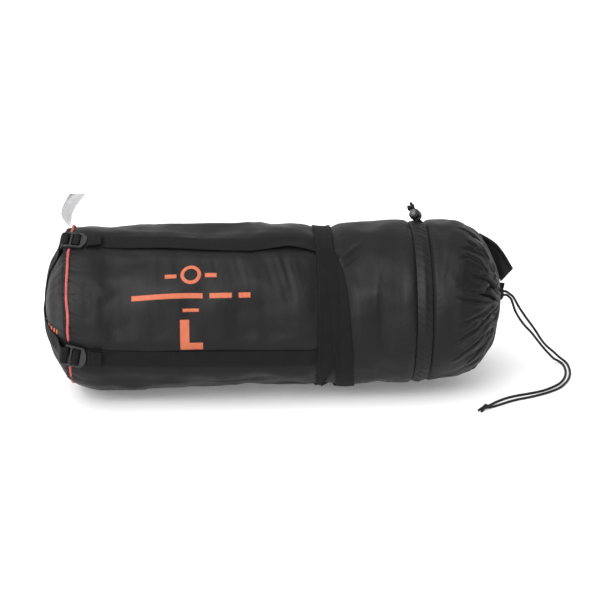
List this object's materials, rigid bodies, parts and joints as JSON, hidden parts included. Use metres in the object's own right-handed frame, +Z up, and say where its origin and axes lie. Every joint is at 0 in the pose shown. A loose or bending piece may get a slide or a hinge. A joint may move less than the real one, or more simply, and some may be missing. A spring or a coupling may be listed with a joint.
{
  "type": "compression sack",
  "caption": "Cylindrical nylon compression sack, packed and lying on its side, with compression straps on ladder locks, a girth band, a carry handle and a gathered drawcord mouth.",
  "frame": {"origin": "on the flat underside of the front panel, where the sack lies on the ground", "axes": "+X along the sack from its base to its drawcord mouth, +Z up, -Y towards the side with the carry handle"},
  "size_m": [0.7647, 0.244, 0.2738],
  "materials": {
    "black_nylon": "satin",
    "cap_nylon": "matte",
    "black_webbing": "matte",
    "black_cord": "satin",
    "coral_piping": "satin",
    "white_satin": "satin",
    "packed_load": "matte",
    "lock_plastic": "satin",
    "cord_lock_black": "gloss",
    "plunger_grey": "satin",
    "spring_steel": "satin"
  },
  "bodies": {
    "sack": {"front_panel": "black_nylon", "rear_panel": "black_nylon", "collar": "black_nylon", "fill_front": "packed_load", "fill_rear": "packed_load", "channel_band": "black_nylon", "channel_cord_loop": "black_cord", "girth_band": "black_webbing", "carry_handle": "black_webbing", "strap_1": "black_webbing", "strap_2": "black_webbing", "strap_3": "black_webbing", "strap_4": "black_webbing", "mouth_hem": "black_nylon", "mouth_cord_loop": "black_cord", "mouth_cord_a": "black_cord", "mouth_cord_b": "black_cord", "mouth_cord_knot": "black_cord", "cord_lock_barrel": "cord_lock_black", "cord_lock_spring": "spring_steel", "channel_cord_a": "black_cord", "channel_cord_b": "black_cord", "channel_cord_knot": "black_cord", "channel_cord_tip": "black_cord"},
    "base_end": {"end_cap": "cap_nylon", "piping": "coral_piping", "base_web_1_3": "black_webbing", "base_web_2_4": "black_webbing"},
    "lock_1": {"ladder_lock_1": "lock_plastic", "strap_1_tail": "black_webbing"},
    "lock_2": {"ladder_lock_2": "lock_plastic", "strap_2_tail": "black_webbing"},
    "lock_3": {"ladder_lock_3": "lock_plastic", "strap_3_tail": "black_webbing"},
    "lock_4": {"ladder_lock_4": "lock_plastic", "strap_4_tail": "black_webbing"},
    "label": {"care_label": "white_satin"},
    "flap": {"storm_flap": "cap_nylon"},
    "plunger": {"cord_lock_plunger": "plunger_grey"}
  },
  "joints": [
    {"name": "compress", "type": "slide", "parent": "sack", "child": "base_end", "axis": [1, 0, 0], "range_m": [0, 0.13], "deforming": ["front_panel", "fill_front", "strap_1", "strap_2", "strap_3", "strap_4"]},
    {"name": "lock_1_tilt", "type": "hinge", "parent": "base_end", "child": "lock_1", "pos_m": [-0.288, -0.04002, 0.23144], "axis": [-0.0737, -0.9371, -0.3411], "range_deg": [0, 45]},
    {"name": "lock_2_tilt", "type": "hinge", "parent": "base_end", "child": "lock_2", "pos_m": [-0.288, -0.11495, 0.0907], "axis": [-0.2044, 0.2534, -0.9455], "range_deg": [0, 45]},
    {"name": "lock_3_tilt", "type": "hinge", "parent": "base_end", "child": "lock_3", "pos_m": [-0.288, 0.03882, 0.01485], "axis": [0.0737, 0.9371, 0.3411], "range_deg": [0, 45]},
    {"name": "lock_4_tilt", "type": "hinge", "parent": "base_end", "child": "lock_4", "pos_m": [-0.288, 0.11495, 0.1523], "axis": [0.2044, -0.2534, 0.9455], "range_deg": [0, 45]},
    {"name": "label_flex", "type": "hinge", "parent": "base_end", "child": "label", "pos_m": [-0.289, 0.02546, 0.2318], "axis": [0, 0.9744, -0.225], "range_deg": [-45, 45], "stiffness_Nm_per_rad": 0.002},
    {"name": "flap_fold", "type": "hinge", "parent": "sack", "child": "flap", "pos_m": [0.31075, 0.031, 0.1745], "axis": [0.4237, -0.2298, -0.8762], "range_deg": [-25, 60], "stiffness_Nm_per_rad": 0.01},
    {"name": "lock_press", "type": "slide", "parent": "sack", "child": "plunger", "axis": [0.5499, 0.6198, -0.5599], "range_m": [0, 0.003], "stiffness_N_per_m": 800, "springref_m": -0.002, "deforming": ["cord_lock_spring"]}
  ]
}
